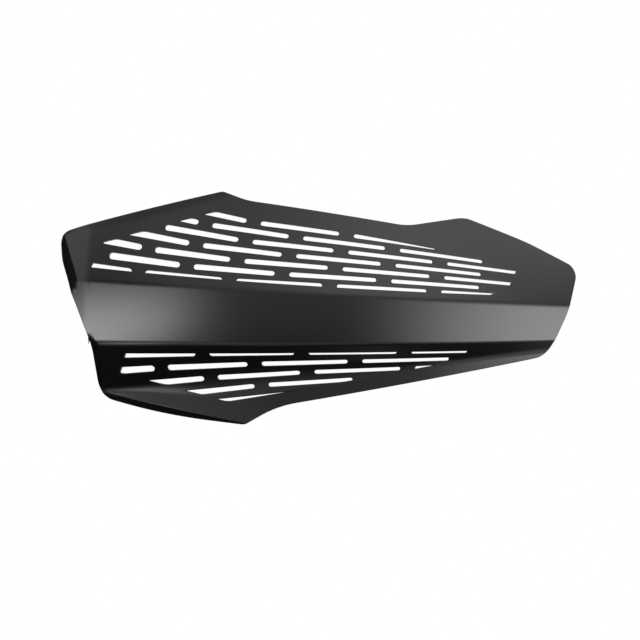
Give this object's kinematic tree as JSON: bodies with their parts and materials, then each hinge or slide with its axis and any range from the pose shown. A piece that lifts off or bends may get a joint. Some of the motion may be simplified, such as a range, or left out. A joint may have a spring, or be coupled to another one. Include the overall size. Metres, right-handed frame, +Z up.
{
  "type": "motorcycle hand guard",
  "caption": "Bowed moulded plastic hand guard shield for a motorcycle handlebar, with a plain band between two panels of fanned slots and screw bosses behind the band.",
  "frame": {"origin": "midway between the two screw bosses, on the plane of their faces", "axes": "+X along the shield towards its narrow inner end, +Y from the front of the shield back to the rider, +Z up"},
  "size_m": [0.2706, 0.0997, 0.118],
  "materials": {
    "shield_plastic": "black, satin, as moulded"
  },
  "bodies": {
    "root": {"shield": "shield_plastic"}
  },
  "joints": []
}
